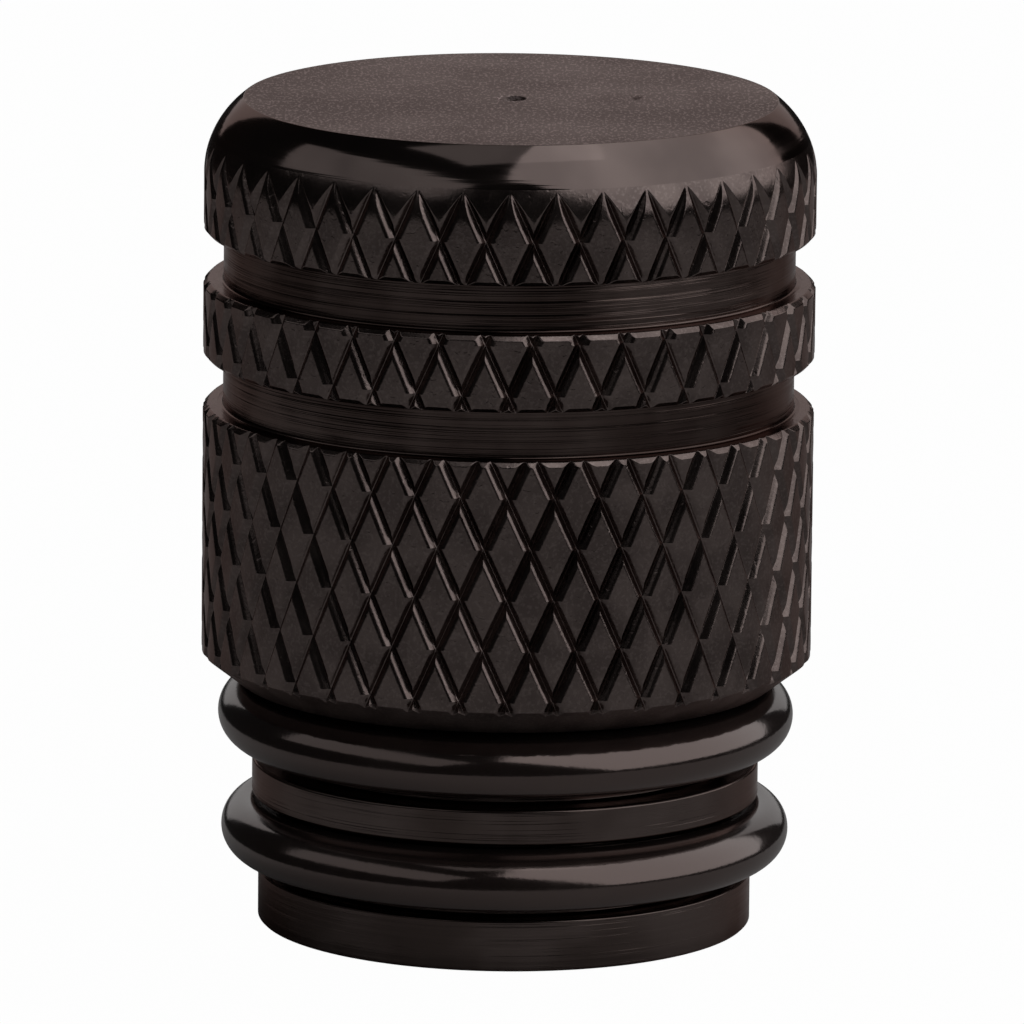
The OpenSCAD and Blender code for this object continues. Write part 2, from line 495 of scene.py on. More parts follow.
@dataclass(frozen=True)
class Corner:
    """A corner of a turned profile: its radius from the axis, its height and its rounding."""

    r: float
    z: float
    rounding: float = 0.0


def rounded_profile(corners: Sequence[Corner], steps: int = 5) -> tuple[Array, Array]:
    """Rounds the corners of a profile.

    Args:
        corners: the corners in order, with the metal on the left of the way along them.
        steps: segments of each rounding.

    Returns:
        Points (r, z), and the outward normal at each.
    """
    raw = np.array([(c.r, c.z) for c in corners])
    ways = np.diff(raw, axis=0)
    ways /= np.linalg.norm(ways, axis=1, keepdims=True)
    outs = np.column_stack([ways[:, 1], -ways[:, 0]])
    points = [raw[0]]
    normals = [outs[0]]
    for i in range(1, len(raw) - 1):
        before, after = outs[i - 1], outs[i]
        turn = math.acos(float(np.clip(ways[i - 1] @ ways[i], -1, 1)))
        cut = corners[i].rounding * math.tan(turn / 2)
        if cut == 0:
            points += [raw[i], raw[i]]
            normals += [before, after]
            continue
        for step in range(steps + 1):
            share = step / steps
            normal = math.sin((1 - share) * turn) * before + math.sin(share * turn) * after
            normal /= np.linalg.norm(normal)
            hand = 1.0 if ways[i - 1][0] * ways[i][1] - ways[i - 1][1] * ways[i][0] > 0 else -1.0
            start = raw[i] - ways[i - 1] * cut
            centre = start - hand * before * corners[i].rounding
            points.append(centre + hand * normal * corners[i].rounding)
            normals.append(normal)
    points.append(raw[-1])
    normals.append(outs[-1])
    return np.array(points), np.array(normals)


def revolve(surface: Surface, points: Array, normals: Array, segments: int) -> None:
    """Turns a profile round the axis.

    Args:
        surface: where the patch is added.
        points: (r, z) along the profile.
        normals: the outward normal at each point.
        segments: facets round the axis.
    """
    angles = np.arange(segments) * (2 * math.pi / segments)
    cosines, sines = np.cos(angles), np.sin(angles)
    rows, cols = len(points), segments
    place = np.empty((rows, cols, 3))
    facing = np.empty((rows, cols, 3))
    for target, source in ((place, points), (facing, normals)):
        target[:, :, 0] = source[:, :1] * cosines
        target[:, :, 1] = source[:, :1] * sines
        target[:, :, 2] = source[:, 1:]
    faces = []
    for row in range(rows - 1):
        if np.allclose(points[row], points[row + 1]):
            continue
        for col in range(cols):
            right = (col + 1) % cols
            low, high = row * cols, (row + 1) * cols
            if points[row][0] < TINY:
                faces.append((low + col, high + right, high + col))
            elif points[row + 1][0] < TINY:
                faces.append((low + col, low + right, high + col))
            else:
                faces.append((low + col, low + right, high + right, high + col))
    surface.add(place.reshape(-1, 3), facing.reshape(-1, 3), faces)


def soft_min(first: Array, second: Array, width: float) -> Array:
    """The lower of two heights, rounded where they are close.

    Args:
        first: the first heights.
        second: the second heights.
        width: how far apart they are where the rounding starts.

    Returns:
        The rounded lower height at each place.
    """
    near = np.clip(1 - np.abs(first - second) / width, 0, 1)
    return np.minimum(first, second) - near * near * width / 4


# The cap's sizes


@dataclass(frozen=True)
class CapSizes:
    """Sizes of the cap, in millimetres. The thread's root and pitch aren't in the solids."""

    knurl_r: float = 6.35
    groove_r: float = 5.93
    land_r: float = 5.28
    skirt_r: float = 5.14
    gland_r: float = 4.62
    skirt_z: float = 1.08
    land_z: float = 2.68
    upper_gland_z: float = 3.44
    long_band_z: float = 5.14
    lower_groove_z: float = 10.93
    mid_band_z: float = 11.95
    upper_groove_z: float = 13.55
    top_band_z: float = 14.57
    height: float = 17.36
    shoulder_r: float = 1.95
    shoulder_a: float = math.radians(54.6)
    mouth_chamfer: float = 0.06
    thread_crest_r: float = 3.45
    thread_root_r: float = 3.87
    thread_pitch: float = 25.4 / 32
    thread_z: float = 9.2
    lead_in: float = 0.4
    undercut_r: float = 4.05
    undercut_z: float = 10.7
    drill_half_angle: float = math.radians(59)

    @property
    def shoulder_x(self) -> float:
        """Radius at the centre of the shoulder's arc."""
        return self.knurl_r - self.shoulder_r

    @property
    def shoulder_z(self) -> float:
        """Height of the centre of the shoulder's arc."""
        return self.height - self.shoulder_r * math.sin(self.shoulder_a)

    @property
    def face_r(self) -> float:
        """Radius of the flat end face."""
        return self.shoulder_x + self.shoulder_r * math.cos(self.shoulder_a)


@dataclass(frozen=True)
class Knurl:
    """The diamond knurl: V grooves of both hands, in one pattern over all the bands."""

    sizes: CapSizes
    count: int = 41
    angle: float = math.radians(24.65)
    depth: float = 0.135
    v_angle: float = math.radians(86)
    row_z: float = 10.16
    crest_rounding: float = 0.055
    root_rounding: float = 0.024
    rim_rounding: float = 0.014

    @property
    def cell_a(self) -> float:
        """Angle of half a pitch."""
        return math.pi / self.count

    @property
    def cell_h(self) -> float:
        """Height of half a diamond."""
        return math.pi * self.sizes.knurl_r / self.count / math.tan(self.angle)

    @property
    def groove_share(self) -> float:
        """Half the width of a groove, as a share of a cell."""
        half_pitch = math.pi * self.sizes.knurl_r / self.count
        return self.depth * math.tan(self.v_angle / 2) / (half_pitch * math.cos(self.angle))

    def angle_at(self, column: Array) -> Array:
        """Angle of a column, with a crossing of the middle row on the front."""
        return (column - 1) * self.cell_a - math.pi / 2

    def radius(self, column: Array, z: Array, profile: Profile) -> Array:
        """Radius of the knurled surface.

        Args:
            column: places round the axis, in cells.
            z: heights.
            profile: the turned radius at each height.

        Returns:
            The radius at each place.
        """
        row = (z - self.row_z) / self.cell_h
        left = np.abs(np.mod(column + row, 2) - 1)
        right = np.abs(np.mod(column - row, 2) - 1)
        root = self.sizes.knurl_r - self.depth
        flank = root + self.depth * np.minimum(left, right) / self.groove_share
        flank = -soft_min(-flank, np.full_like(flank, -root - self.root_rounding / 4), self.root_rounding)
        cut = soft_min(flank, np.full_like(flank, self.sizes.knurl_r), self.crest_rounding)
        return soft_min(cut, profile(z), self.rim_rounding)

    def wedge(
        self, low: float, high: float, levels: Sequence[float], shares: Sequence[float]
    ) -> tuple[Array, list[tuple[int, ...]]]:
        """Cuts two columns of cells into small faces along the grooves.

        Args:
            low: the band's lower end.
            high: the band's upper end.
            levels: heights at which all faces are cut.
            shares: places across a groove, from its root at 0 to the flat's middle at 1.

        Returns:
            The (column, z) points, and the faces as tuples of their numbers.
        """
        index: dict[tuple[int, int], int] = {}
        points: list[tuple[float, float]] = []
        faces: list[tuple[int, ...]] = []
        cuts = sorted({low, high, *[level for level in levels if low < level < high]})
        first = math.floor((low - self.row_z) / self.cell_h)
        last = math.ceil((high - self.row_z) / self.cell_h)
        for column in (0, 1):
            for row in range(first, last):
                mirrored = (column + row) % 2 != 0
                for strip in self._strips(shares):
                    placed = [
                        (column + (1 - x if mirrored else x), self.row_z + (row + y) * self.cell_h)
                        for x, y in strip
                    ]
                    if not mirrored:
                        placed.reverse()
                    for face in slices(placed, cuts):
                        numbers = []
                        for u, z in face:
                            key = (round(u * KEY_STEPS), round(z * KEY_STEPS))
                            if key not in index:
                                index[key] = len(points)
                                points.append((u, z))
                            if index[key] not in numbers:
                                numbers.append(index[key])
                        if len(numbers) > 2:
                            faces.append(tuple(numbers))
        return np.array(points), faces

    @staticmethod
    def _strips(shares: Sequence[float]) -> list[list[tuple[float, float]]]:
        """Strips of one cell, along the groove on its diagonal.

        Args:
            shares: places across the groove, from 0 to 1.

        Returns:
            The corners of each strip, in shares of the cell.
        """
        strips = []
        for near, far in zip(shares[:-1], shares[1:]):
            strip = [(1 - near, 0.0), (0.0, 1 - near), (0.0, 1 - far), (1 - far, 0.0)]
            if far >= 1:
                strip = strip[:3]
            strips.append(strip[::-1])
            strips.append([(1 - x, 1 - y) for x, y in strip[::-1]])
        return strips


def slices(polygon: list[tuple[float, float]], cuts: Sequence[float]) -> list[list[tuple[float, float]]]:
    """Cuts a convex polygon at heights.

    Args:
        polygon: its (column, z) corners.
        cuts: heights in rising order. What lies outside the first and last is dropped.

    Returns:
        The pieces, in the polygon's own turning sense.
    """
    lowest, highest = min(z for _, z in polygon), max(z for _, z in polygon)
    pieces = []
    for low, high in zip(cuts[:-1], cuts[1:]):
        if high <= lowest + CUT_SLACK or low >= highest - CUT_SLACK:
            continue
        piece = polygon
        for level, sign in ((low, 1.0), (high, -1.0)):
            kept: list[tuple[float, float]] = []
            for (u0, z0), (u1, z1) in zip(piece, piece[1:] + piece[:1]):
                here, there = sign * (z0 - level), sign * (z1 - level)
                if here >= -CUT_SLACK:
                    kept.append((u0, z0))
                if min(here, there) < -CUT_SLACK and max(here, there) > CUT_SLACK:
                    share = here / (here - there)
                    kept.append((u0 + share * (u1 - u0), level))
            piece = kept
            if len(piece) < 3:
                break
        if len(piece) > 2:
            pieces.append(piece)
    return pieces


# Sub-assemblies


@dataclass
class GripBands:
    """The three knurled bands, with their chamfers and their end walls."""

    sizes: CapSizes
    band_chamfer: float = 0.10
    chamfer_height: float = 0.10
    long_chamfer_w: float = 0.76
    long_chamfer_h: float = 0.58
    edge_rounding: float = 0.02
    wall_reach: float = 6.05
    end_above_runout: float = math.radians(2)
    wall_steepness: float = 3.0
    long_edge_rounding: float = 0.03
    long_wall_steepness: float = 4.5
    end_step: float = 0.012
    long_end_step: float = 0.03
    end_cuts: tuple[float, ...] = (0.006, 0.014, 0.03, 0.05, 0.07, 0.085, 0.1, 0.115)
    shoulder_cut: float = 0.03
    foot_cuts: tuple[float, float, float] = (0.004, 0.03, 0.006)
    tip_cuts: tuple[float, float, float] = (0.36, 0.66, 0.02)
    wall_clearance: float = 0.05
    normal_inset: float = 0.05
    slope_step: float = 2e-6
    shares: tuple[float, ...] = (
        0.0, 0.02, 0.04, 0.07, 0.11, 0.15, 0.18, 0.21, 0.24, 0.27, 0.3, 0.33, 0.37, 0.41, 0.6, 0.8, 1.0,
    )

    def __post_init__(self) -> None:
        """Sets up the knurl that all bands share."""
        self.knurl = Knurl(self.sizes)

    @property
    def runout_z(self) -> float:
        """Height at which the knurl has run out on the shoulder."""
        s = self.sizes
        runout = math.acos(1 - self.knurl.depth / s.shoulder_r)
        return s.shoulder_z + s.shoulder_r * math.sin(runout + self.end_above_runout)

    def _end_profile(self, z: Array, end: float, side: float) -> Array:
        """Radius of a plain band end: a chamfer, rounded into the end wall.

        Args:
            z: heights.
            end: the height of the end wall.
            side: 1 for an upper end, -1 for a lower one.

        Returns:
            The turned radius.
        """
        inside = side * (end - z)
        chamfer = self.sizes.knurl_r - self.band_chamfer + inside * self.band_chamfer / self.chamfer_height
        edge = self.sizes.knurl_r - self.band_chamfer - self.end_step + inside * self.wall_steepness
        return soft_min(chamfer, edge, self.edge_rounding)

    def _long_foot(self, z: Array) -> Array:
        """Radius of the long band's wide lower chamfer.

        Args:
            z: heights.

        Returns:
            The turned radius.
        """
        inside = z - self.sizes.long_band_z
        slope = self.long_chamfer_w / self.long_chamfer_h
        chamfer = self.sizes.knurl_r - self.long_chamfer_w + inside * slope
        edge = self.sizes.knurl_r - self.long_chamfer_w - self.long_end_step
        return soft_min(chamfer, edge + inside * self.long_wall_steepness, self.long_edge_rounding)

    def _shoulder(self, z: Array) -> Array:
        """Radius of the shoulder's arc, where it runs through the knurl.

        Args:
            z: heights.

        Returns:
            The turned radius.
        """
        s = self.sizes
        above = np.clip(z - s.shoulder_z, 0, None)
        return s.shoulder_x + np.sqrt(s.shoulder_r**2 - above**2)

    def _levels(self, end: float, side: float) -> list[float]:
        """Heights of the cuts near a plain band end."""
        return [end - side * step for step in self.end_cuts]

    def _band(
        self, surface: Surface, low: float, high: float, profile: Profile, levels: Sequence[float],
        walls: tuple[bool, bool],
    ) -> None:
        """Adds one knurled band.

        Args:
            surface: where the band is added.
            low: its lower end.
            high: its upper end.
            profile: its turned radius.
            levels: heights of extra cuts.
            walls: whether it has a wall at its lower and at its upper end.
        """
        points, faces = self.knurl.wedge(low, high, levels, self.shares)
        count, turns = self.knurl.count, np.arange(self.knurl.count)
        column = (points[:, 0][None, :] + 2 * turns[:, None]).ravel()
        z = np.tile(points[:, 1], count)
        around = np.mod(np.round(column * KEY_STEPS), 2 * count * KEY_STEPS)
        keys = np.column_stack([around, np.round(z * KEY_STEPS)])
        _, first, inverse = np.unique(keys.astype(np.int64), axis=0, return_index=True, return_inverse=True)
        inverse = inverse.ravel()
        column, z = column[first], z[first]
        radius = self.knurl.radius(column, z, profile)
        angle = self.knurl.angle_at(column)
        place = np.column_stack([radius * np.cos(angle), radius * np.sin(angle), z])
        size = len(points)
        all_faces = [tuple(inverse[turn * size + i] for i in face) for turn in turns for face in faces]
        surface.add(place, self._corner_normals(points, faces, profile), all_faces, by_corner=True)
        for wanted, end, side in ((walls[0], low, -1.0), (walls[1], high, 1.0)):
            if wanted:
                rim = np.where(np.abs(z - end) < TINY)[0]
                rim = rim[np.argsort(column[rim])]
                self._wall(surface, place[rim], side)

    def _corner_normals(
        self, points: Array, faces: Sequence[tuple[int, ...]], profile: Profile
    ) -> Array:
        """Normals of the face corners of a whole band, each taken just inside its own face.

        Args:
            points: (column, z) points of two columns.
            faces: the faces of two columns.
            profile: the turned radius.

        Returns:
            One normal per face corner, turn after turn.
        """
        small, knurl = self.slope_step, self.knurl
        corners = np.vstack([points[list(face)] for face in faces])
        middles = np.vstack([np.tile(points[list(face)].mean(axis=0), (len(face), 1)) for face in faces])
        column, z = (corners + self.normal_inset * (middles - corners)).T
        radius = knurl.radius(column, z, profile)
        round_slope = knurl.radius(column + small, z, profile) - knurl.radius(column - small, z, profile)
        round_slope /= 2 * small * knurl.cell_a * radius
        up_slope = knurl.radius(column, z + small, profile) - knurl.radius(column, z - small, profile)
        up_slope /= 2 * small
        angle = knurl.angle_at(corners[:, 0][None, :] + 2 * np.arange(knurl.count)[:, None])
        cosine, sine = np.cos(angle), np.sin(angle)
        rise = np.broadcast_to(-up_slope, angle.shape)
        parts = [cosine + round_slope * sine, sine - round_slope * cosine, rise]
        return np.stack(parts, axis=-1).reshape(-1, 3)

    def _wall(self, surface: Surface, rim: Array, side: float) -> None:
        """Adds the flat wall at a band's end.

        Args:
            surface: where the wall is added.
            rim: the points of the band's end, in order round the axis.
            side: 1 for an upper end, -1 for a lower one.
        """
        radius = np.hypot(rim[:, 0], rim[:, 1])
        inner = rim.copy()
        inner[:, :2] *= (min(self.wall_reach, radius.min() - self.wall_clearance) / radius)[:, None]
        count = len(rim)
        faces = []
        for i in range(count):
            j = (i + 1) % count
            face = (i, j, count + j, count + i)
            faces.append(face if side > 0 else face[::-1])
        surface.add(np.vstack([rim, inner]), np.tile([0.0, 0.0, side], (2 * count, 1)), faces)

    def build(self) -> list[bpy.types.Object]:
        """Builds the bands.

        Returns:
            One piece per band.
        """
        s = self.sizes
        knurl_finish = KNURL_FINISH.make()
        pieces = []

        def plain(low: float, high: float) -> Profile:
            """The turned profile of a band with two plain ends."""
            return lambda z: np.minimum(self._end_profile(z, low, -1.0), self._end_profile(z, high, 1.0))

        long_band = Surface()
        foot_levels = [*np.arange(*self.foot_cuts), *np.arange(*self.tip_cuts)]
        levels = [s.long_band_z + step for step in foot_levels] + self._levels(s.lower_groove_z, 1.0)

        def long_profile(z: Array) -> Array:
            """The turned radius of the long band."""
            return np.minimum(self._long_foot(z), self._end_profile(z, s.lower_groove_z, 1.0))

        self._band(long_band, s.long_band_z, s.lower_groove_z, long_profile, levels, (True, True))
        pieces.append(long_band.make("long_knurled_band", knurl_finish))

        middle = Surface()
        levels = self._levels(s.mid_band_z, -1.0) + self._levels(s.upper_groove_z, 1.0)
        profile = plain(s.mid_band_z, s.upper_groove_z)
        self._band(middle, s.mid_band_z, s.upper_groove_z, profile, levels, (True, True))
        pieces.append(middle.make("middle_knurled_band", knurl_finish))

        top = Surface()
        end = self.runout_z
        levels = self._levels(s.top_band_z, -1.0) + list(np.arange(s.shoulder_z, end, self.shoulder_cut))

        def top_profile(z: Array) -> Array:
            """The turned radius of the top band, up to the knurl's end on the shoulder."""
            return np.minimum(self._end_profile(z, s.top_band_z, -1.0), self._shoulder(z))

        self._band(top, s.top_band_z, end, top_profile, levels, (True, False))
        pieces.append(top.make("top_knurled_band", knurl_finish))
        return pieces


@dataclass
class TurnedBody:
    """The turned surfaces: end face, shoulder, grooves, neck, skirt and bore."""

    sizes: CapSizes
    runout_z: float
    segments: int = 328
    shoulder_steps: int = 40
    edge: float = 0.04
    fillet: float = 0.05
    wall_gap: float = 0.002
    mark_r: float = 0.31
    mark_foot_r: float = 0.2
    mark_depth: float = 0.34
    pit_place: tuple[float, float] = (2.6, 0.25)
    pit_size: tuple[float, float] = (0.06, 0.16)
    pit_depth: float = 0.12
    tuck: float = 0.02
    tuck_angle: float = 0.012
    tuck_depth: float = 0.0015
    groove_wall: float = 0.2
    neck_wall: float = 0.8
    land_rounding: float = 0.07
    skirt_rounding: float = 0.05
    drill_rounding: float = 0.03
    mark_rim_rounding: float = 0.03
    mark_foot_rounding: float = 0.02
    mark_margin: float = 0.1
    face_rings: int = 60
    rim_steps: int = 6
    bore_segments: int = 128
    thread_steps: int = 16
    thread_crest_share: float = 0.25
    thread_flank_share: float = 0.62
    thread_fade: float = 0.3
    slope_step: float = 1e-3
    rim_r: float = field(default=0.0, init=False)
    rim_z: float = field(default=0.0, init=False)

    def shoulder(self) -> bpy.types.Object:
        """Builds the smooth shoulder, from inside the knurl's end to the rim of the end face.

        Returns:
            The shoulder.
        """
        s = self.sizes
        start = math.asin((self.runout_z - self.tuck - s.shoulder_z) / s.shoulder_r)
        end = s.shoulder_a - self.tuck_angle
        angles = np.linspace(start, end, self.shoulder_steps)
        radius = s.shoulder_r - np.where(angles < start + self.tuck_angle, self.tuck_depth, 0.0)
        normals = np.column_stack([np.cos(angles), np.sin(angles)])
        points = np.array([s.shoulder_x, s.shoulder_z]) + radius[:, None] * normals
        surface = Surface()
        revolve(surface, points, normals, self.segments)
        turns = np.linspace(end, math.pi / 2, self.rim_steps + 1)
        rim_normals = np.column_stack([np.cos(turns), np.sin(turns)])
        inner = points[-1] - self.edge * normals[-1]
        rim = inner + self.edge * rim_normals
        rim[:, 1] += min(0.0, s.height - rim[:, 1].max())
        revolve(surface, rim, rim_normals, self.segments)
        self.rim_r = float(rim[-1, 0])
        self.rim_z = float(rim[-1, 1])
        return surface.make("shoulder", SHOULDER_FINISH.make())

    def end_face(self) -> bpy.types.Object:
        """Builds the flat end face, with its centre mark and a small pit.

        Returns:
            The end face.
        """
        z = self.rim_z
        corners = [
            Corner(self.rim_r, z),
            Corner(self.mark_r, z, self.mark_rim_rounding),
            Corner(self.mark_foot_r, z - self.mark_depth, self.mark_foot_rounding),
            Corner(0.0, z - self.mark_depth),
        ]
        points, normals = rounded_profile(corners)
        rings = np.linspace(self.rim_r, self.mark_r + self.mark_margin, self.face_rings)[1:]
        points = np.vstack([points[:1], np.column_stack([rings, np.full(len(rings), z)]), points[1:]])
        normals = np.vstack([normals[:1], np.tile([0.0, 1.0], (len(rings), 1)), normals[1:]])
        surface = Surface()
        revolve(surface, points, normals, self.segments)
        place = surface.points[0]
        near = np.linalg.norm((place[:, :2] - self.pit_place) / self.pit_size, axis=1)
        place[:, 2] -= self.pit_depth * np.exp(-near * near)
        return surface.make("end_face", FACE_FINISH.make())

    def grooves(self) -> bpy.types.Object:
        """Builds the two plain grooves between the knurled bands.

        Returns:
            Both grooves, as one piece.
        """
        s = self.sizes
        surface = Surface()
        for low, high in ((s.lower_groove_z, s.mid_band_z), (s.upper_groove_z, s.top_band_z)):
            corners = [
                Corner(s.groove_r + self.groove_wall, low - self.wall_gap),
                Corner(s.groove_r, low - self.wall_gap, self.fillet),
                Corner(s.groove_r, high + self.wall_gap, self.fillet),
                Corner(s.groove_r + self.groove_wall, high + self.wall_gap),
            ]
            revolve(surface, *rounded_profile(corners), self.segments)
        return surface.make("plain_grooves", GROOVE_FINISH.make())

    def neck(self) -> bpy.types.Object:
        """Builds the skirt, the glands and the land between them.

        Returns:
            The neck.
        """
        s = self.sizes
        corners = [
            Corner(s.thread_crest_r + s.lead_in, 0.0),
            Corner(s.skirt_r - s.mouth_chamfer, 0.0, self.edge),
            Corner(s.skirt_r, s.mouth_chamfer, self.edge),
            Corner(s.skirt_r, s.skirt_z, self.skirt_rounding),
            Corner(s.gland_r, s.skirt_z, self.fillet),
            Corner(s.gland_r, s.land_z, self.fillet),
            Corner(s.land_r, s.land_z, self.land_rounding),
            Corner(s.land_r, s.upper_gland_z, self.land_rounding),
            Corner(s.gland_r, s.upper_gland_z, self.fillet),
            Corner(s.gland_r, s.long_band_z + self.wall_gap, self.fillet),
            Corner(s.knurl_r - self.neck_wall, s.long_band_z + self.wall_gap),
        ]
        surface = Surface()
        revolve(surface, *rounded_profile(corners), self.segments)
        return surface.make("neck_and_skirt", NECK_FINISH.make())

    def bore(self) -> bpy.types.Object:
        """Builds the lead-in, the threaded wall, the undercut and the drilled end.

        Returns:
            The bore.
        """
        s = self.sizes
        surface = Surface()
        apex = s.undercut_z + s.thread_crest_r / math.tan(s.drill_half_angle)
        corners = [
            Corner(0.0, apex),
            Corner(s.thread_crest_r, s.undercut_z, self.drill_rounding),
            Corner(s.undercut_r, s.undercut_z, self.fillet),
            Corner(s.undercut_r, s.thread_z, self.fillet),
            Corner(s.thread_crest_r, s.thread_z),
        ]
        revolve(surface, *rounded_profile(corners), self.bore_segments)
        corners = [Corner(s.thread_crest_r, s.lead_in), Corner(s.thread_crest_r + s.lead_in, 0.0)]
        revolve(surface, *rounded_profile(corners), self.bore_segments)
        self._thread(surface)
        return surface.make("threaded_bore", BORE_FINISH.make())

    def _thread(self, surface: Surface) -> None:
        """Adds the internal thread: one right-handed helical groove.

        Args:
            surface: where the thread is added.
        """
        s = self.sizes
        segments = self.bore_segments
        rows = int(round((s.thread_z - s.lead_in) / s.thread_pitch * self.thread_steps))
        z = np.linspace(s.lead_in, s.thread_z, rows + 1)
        angles = np.arange(segments) * (2 * math.pi / segments)

        def radius(angle: Array, height: Array) -> Array:
            """The threaded wall's radius.

            Args:
                angle: angles round the axis.
                height: heights.

            Returns:
                The radius at each place.
            """
            turn = np.mod(height / s.thread_pitch - angle / (2 * math.pi), 1.0)
            out = 1 - np.abs(turn - 0.5) * 2
            share = np.clip((out - self.thread_crest_share) / self.thread_flank_share, 0, 1)
            ends = np.clip(np.minimum(height - s.lead_in, s.thread_z - height) / self.thread_fade, 0, 1)
            return s.thread_crest_r + share * (s.thread_root_r - s.thread_crest_r) * ends

        angle, height = np.meshgrid(angles, z)
        r = radius(angle, height)
        small = self.slope_step
        round_slope = (radius(angle + small, height) - radius(angle - small, height)) / (2 * small * r)
        up_slope = (radius(angle, height + small) - radius(angle, height - small)) / (2 * small)
        cosine, sine = np.cos(angle), np.sin(angle)
        place = np.stack([r * cosine, r * sine, height], axis=-1).reshape(-1, 3)
        outward = [cosine + round_slope * sine, sine - round_slope * cosine, -up_slope]
        facing = -np.stack(outward, axis=-1)
        faces = []
        for row in range(rows):
            for col in range(segments):
                right = (col + 1) % segments
                low, high = row * segments, (row + 1) * segments
                faces.append((low + col, high + col, high + right, low + right))
        surface.add(place, facing.reshape(-1, 3), faces)

    def build(self) -> list[bpy.types.Object]:
        """Builds all the turned surfaces."""
        return [self.shoulder(), self.end_face(), self.grooves(), self.neck(), self.bore()]


@dataclass
class Seals:
    """The O-rings in their glands and the washer at the end of the bore."""

    sizes: CapSizes
    segments: int = 320
    ring_steps: int = 64
    washer_segments: int = 128
    washer_hole_r: float = 1.5
    washer_edge: float = 0.06
    sheen_tilt: float = math.radians(12)

    def ring(self, part: Part, name: str, material: bpy.types.Material) -> bpy.types.Object:
        """Builds one O-ring where its solid is.

        The normals are tilted, so that the highlights sit lower on it than on a true circle.

        Args:
            part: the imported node.
            name: the piece's name.
            material: the rubber.

        Returns:
            The ring.
        """
        low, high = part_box(part.value)
        section = (high.z - low.z) / MM / 2
        centre_r = (high.x - low.x) / MM / 2 - section
        centre_z = (high.z + low.z) / MM / 2
        turns = np.linspace(0, 2 * math.pi, self.ring_steps + 1)
        outward = np.column_stack([np.cos(turns), np.sin(turns)])
        tilted = turns + self.sheen_tilt
        normals = np.column_stack([np.cos(tilted), np.sin(tilted)])
        surface = Surface()
        revolve(surface, np.array([centre_r, centre_z]) + section * outward, normals, self.segments)
        return surface.make(name, material)

    def washer(self, material: bpy.types.Material) -> bpy.types.Object:
        """Builds the sealing washer where its solid is.

        Args:
            material: the rubber.

        Returns:
            The washer.
        """
        low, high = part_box(Part.WASHER.value)
        foot, top, outer = low.z / MM, high.z / MM, (high.x - low.x) / MM / 2
        hole = self.washer_hole_r
        middle = (hole + outer) / 2
        corners = [
            Corner(middle, foot),
            Corner(outer, foot, self.washer_edge),
            Corner(outer, top, self.washer_edge),
            Corner(hole, top, self.washer_edge),
            Corner(hole, foot, self.washer_edge),
            Corner(middle, foot),
        ]
        surface = Surface()
        revolve(surface, *rounded_profile(corners), self.washer_segments)
        return surface.make("bore_washer", material)


# The studio


@dataclass(frozen=True)
class Softbox:
    """A soft rectangular lamp that looks at the cap."""

    name: str
    azimuth: float
    elevation: float
    width: float
    height: float
    level: float
    distance: float = 0.5

    def place(self, target: Vector) -> None:
        """Adds the lamp.

        Args:
            target: what it looks at.
        """
        lamp = bpy.data.lights.new(self.name, "AREA")
        lamp.shape = "RECTANGLE"
        lamp.size, lamp.size_y = self.width, self.height
        lamp.energy = self.level * math.pi * self.width * self.height
        obj = bpy.data.objects.new(self.name, lamp)
        turn, lift = math.radians(self.azimuth), math.radians(self.elevation)
        way = Vector((math.sin(turn) * math.cos(lift), -math.cos(turn) * math.cos(lift), math.sin(lift)))
        obj.location = target + way * self.distance
        obj.rotation_euler = way.to_track_quat("Z", "Y").to_euler()
        obj.visible_camera = False
        bpy.context.scene.collection.objects.link(obj)


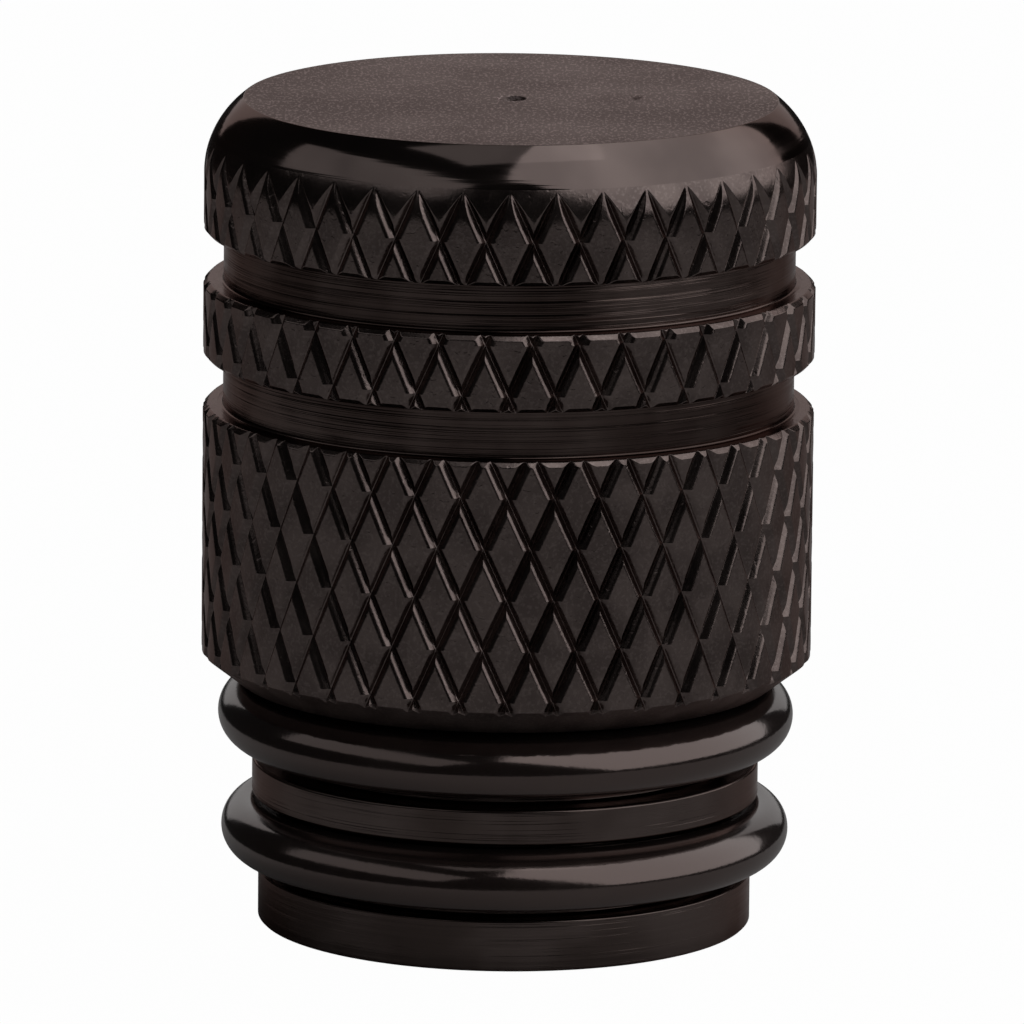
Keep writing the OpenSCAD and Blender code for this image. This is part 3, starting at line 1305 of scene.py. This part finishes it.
@dataclass
class Studio:
    """Floor, world, lamps and camera."""

    target_z: float = 8.76
    elevation: float = math.radians(11.54)
    distance: float = 300.0
    pixels_per_mm: float = 48.06
    roll: float = math.radians(0.55)
    target_pixel: tuple[float, float] = (507.4, 505.3)
    floor_side: float = 0.24
    floor_white: float = 0.42
    floor_glow: float = 0.985
    world_level: float = 0.015
    softboxes: tuple[Softbox, ...] = (
        Softbox("key_right", 84, 46, 1.12, 0.86, 1.1),
        Softbox("overhead", 20, 87, 0.34, 0.26, 0.3),
        Softbox("fill_left", -66, 41, 0.72, 0.24, 0.36),
        Softbox("back", 180, 21, 0.50, 0.30, 0.47),
    )

    def floor(self) -> None:
        """Adds the pale floor, which looks white to the camera and keeps the shadow."""
        side = self.floor_side / 2
        mesh = bpy.data.meshes.new("floor")
        corners = [(-side, -side, 0), (side, -side, 0), (side, side, 0), (-side, side, 0)]
        mesh.from_pydata(corners, [], [(0, 1, 2, 3)])
        floor = bpy.data.objects.new("floor", mesh)
        bpy.context.scene.collection.objects.link(floor)
        material = bpy.data.materials.new("pale_floor")
        tree = ShaderTree(material)
        white = (self.floor_white, self.floor_white, self.floor_white, 1.0)
        matt = tree.node("ShaderNodeBsdfDiffuse", {}, {"Color": white})
        glow = tree.node("ShaderNodeEmission", {}, {"Color": WHITE, "Strength": 1.0})
        seen = tree.node("ShaderNodeLightPath", {}, {}, "Is Camera Ray")
        tree.finish(tree.node("ShaderNodeMixShader", {}, {0: seen * self.floor_glow, 1: matt, 2: glow}))
        mesh.materials.append(material)

    def world(self) -> None:
        """Makes the world white to the camera and dim to the cap."""
        world = bpy.data.worlds.new("studio")
        bpy.context.scene.world = world
        tree = ShaderTree(world)
        seen = tree.node("ShaderNodeLightPath", {}, {}, "Is Camera Ray")
        level = seen * (1 - self.world_level) + self.world_level
        inputs = {"Color": WHITE, "Strength": level}
        tree.finish(tree.node("ShaderNodeBackground", {}, inputs), world=True)

    def camera(self) -> None:
        """Places the camera as the photograph was taken."""
        data = bpy.data.cameras.new("camera")
        data.sensor_width = SENSOR_MM
        data.lens = self.pixels_per_mm * self.distance / IMAGE_SIDE * data.sensor_width
        data.shift_x = (IMAGE_SIDE / 2 - self.target_pixel[0]) / IMAGE_SIDE
        data.shift_y = (self.target_pixel[1] - IMAGE_SIDE / 2) / IMAGE_SIDE
        data.clip_start = 0.01
        camera = bpy.data.objects.new("camera", data)
        way = Vector((0.0, -math.cos(self.elevation), math.sin(self.elevation)))
        camera.location = Vector((0.0, 0.0, self.target_z * MM)) + way * (self.distance * MM)
        turn = way.to_track_quat("Z", "Y")
        camera.rotation_euler = turn.to_euler()
        camera.rotation_euler.rotate_axis("Z", self.roll)
        bpy.context.scene.collection.objects.link(camera)
        bpy.context.scene.camera = camera

    def build(self) -> None:
        """Sets up the whole studio."""
        bpy.context.scene.view_settings.view_transform = "Standard"
        self.floor()
        self.world()
        for softbox in self.softboxes:
            softbox.place(Vector((0.0, 0.0, self.target_z * MM)))
        self.camera()


def dress(pieces: Sequence[bpy.types.Object], part: Part) -> None:
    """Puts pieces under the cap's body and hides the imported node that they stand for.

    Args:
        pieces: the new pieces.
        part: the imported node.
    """
    for piece in pieces:
        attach(piece, BODY)
        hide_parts(part.value)
        LOG.info("%s: %d faces, for %s", piece.name, len(piece.data.polygons), part.value)


def main() -> None:
    """Builds the dressed cap and the studio."""
    logging.basicConfig(level=logging.INFO, format="%(name)s: %(message)s")
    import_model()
    sizes = CapSizes()
    bands = GripBands(sizes)
    dress(bands.build(), Part.BODY)
    body = TurnedBody(sizes, bands.runout_z)
    dress(body.build(), Part.BODY)
    seals = Seals(sizes)
    ring_rubber = RING_FINISH.make()
    dress([seals.ring(Part.UPPER_RING, "upper_ring", ring_rubber)], Part.UPPER_RING)
    dress([seals.ring(Part.LOWER_RING, "lower_ring", ring_rubber)], Part.LOWER_RING)
    dress([seals.washer(WASHER_FINISH.make())], Part.WASHER)
    Studio().build()


if __name__ == "__main__":
    main()
